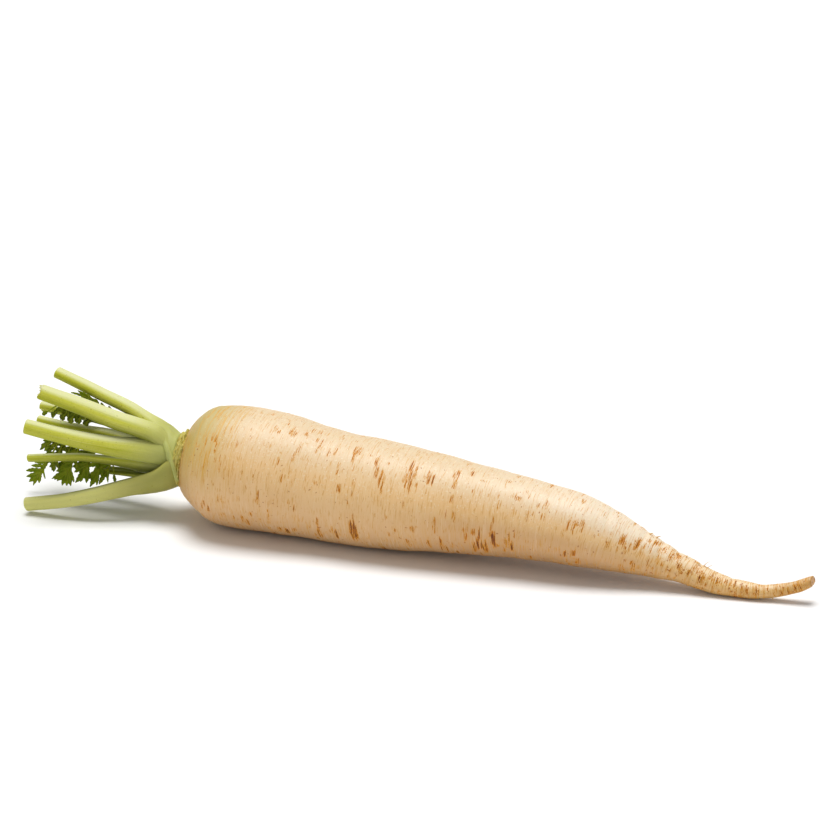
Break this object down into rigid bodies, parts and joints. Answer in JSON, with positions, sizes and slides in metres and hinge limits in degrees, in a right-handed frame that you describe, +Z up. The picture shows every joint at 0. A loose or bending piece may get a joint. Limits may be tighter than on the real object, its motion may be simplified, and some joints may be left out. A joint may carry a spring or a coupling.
{
  "type": "parsnip",
  "caption": "A long cream parsnip lying on its side, with a ringed crown, cut leaf stalks and young feathery leaves left among them.",
  "frame": {"origin": "On the floor, at the middle of the resting flat under the thick end of the root", "axes": "+X along the root to its tail, -X to the cut stalks, +Z up, -Y the side that most stalks lean to"},
  "size_m": [0.3186, 0.0477, 0.0528],
  "materials": {
    "root_skin": "cream root skin with fine rings and orange-brown specks",
    "crown_scar": "fibrous old leaf scars, yellow-green to tan",
    "stalk_flesh": "moist ribbed leaf stalk, pale green with deeper green undersides",
    "leaf_blade": "thin matt dark green leaf blade with paler veins"
  },
  "bodies": {
    "root": {"taproot": "root_skin", "crown": "crown_scar", "stalk_top": "stalk_flesh", "stalk_upper": "stalk_flesh", "stalk_far": "stalk_flesh", "stalk_inner": "stalk_flesh", "stalk_front": "stalk_flesh", "stalk_lower": "stalk_flesh", "stalk_behind": "stalk_flesh", "stalk_bottom": "stalk_flesh", "leaf_upper": "leaf_blade", "leaf_lower": "leaf_blade"}
  },
  "joints": []
}
